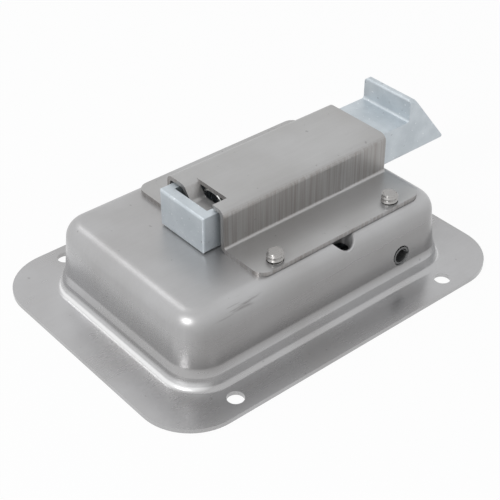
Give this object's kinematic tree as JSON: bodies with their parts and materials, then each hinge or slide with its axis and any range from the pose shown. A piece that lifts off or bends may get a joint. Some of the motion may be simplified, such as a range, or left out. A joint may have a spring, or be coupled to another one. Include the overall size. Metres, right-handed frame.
{
  "type": "paddle latch",
  "caption": "Flush paddle latch: flanged drawn dish with a hinged pull paddle in front and a spring-loaded bevelled slam bolt sliding in a hat-section housing behind.",
  "frame": {"origin": "centre of the four mounting holes, in the plane of the mounting flange's front face", "axes": "+Z out of the back of the latch, into the door, with the front face at z = 0; +X along the bolt towards its bevelled nose; +Y across the bolt"},
  "size_m": [0.1482, 0.1032, 0.0481],
  "materials": {
    "stainless": "plain mill-finish stainless sheet, drawn and pressed",
    "screw_steel": "plain stainless screw",
    "zinc_plate": "bright zinc plating over a steel casting",
    "spring_steel": "drawn spring wire",
    "arm_steel": "zinc-plated steel strip",
    "pin_steel": "rolled spring steel"
  },
  "bodies": {
    "body": {"dish": "stainless", "housing": "stainless", "housing_screws": "screw_steel", "bolt_spring": "spring_steel"},
    "handle": {"paddle": "stainless", "release_arm": "arm_steel", "pivot_pin": "pin_steel"},
    "slider": {"bolt": "zinc_plate"}
  },
  "joints": [
    {"name": "paddle_pivot", "type": "hinge", "parent": "body", "child": "handle", "pos_m": [0.0332, 0, 0.0116], "axis": [0, -1, 0], "range_deg": [0, 27], "stiffness_Nm_per_rad": 0.607, "springref_deg": -26.47},
    {"name": "bolt_slide", "type": "slide", "parent": "body", "child": "slider", "axis": [-1, 0, 0], "range_m": [0, 0.01], "deforming": ["bolt_spring"]}
  ],
  "couplings": [
    {"joint": "bolt_slide", "follows": "paddle_pivot", "m_per_rad": 0.0212}
  ]
}
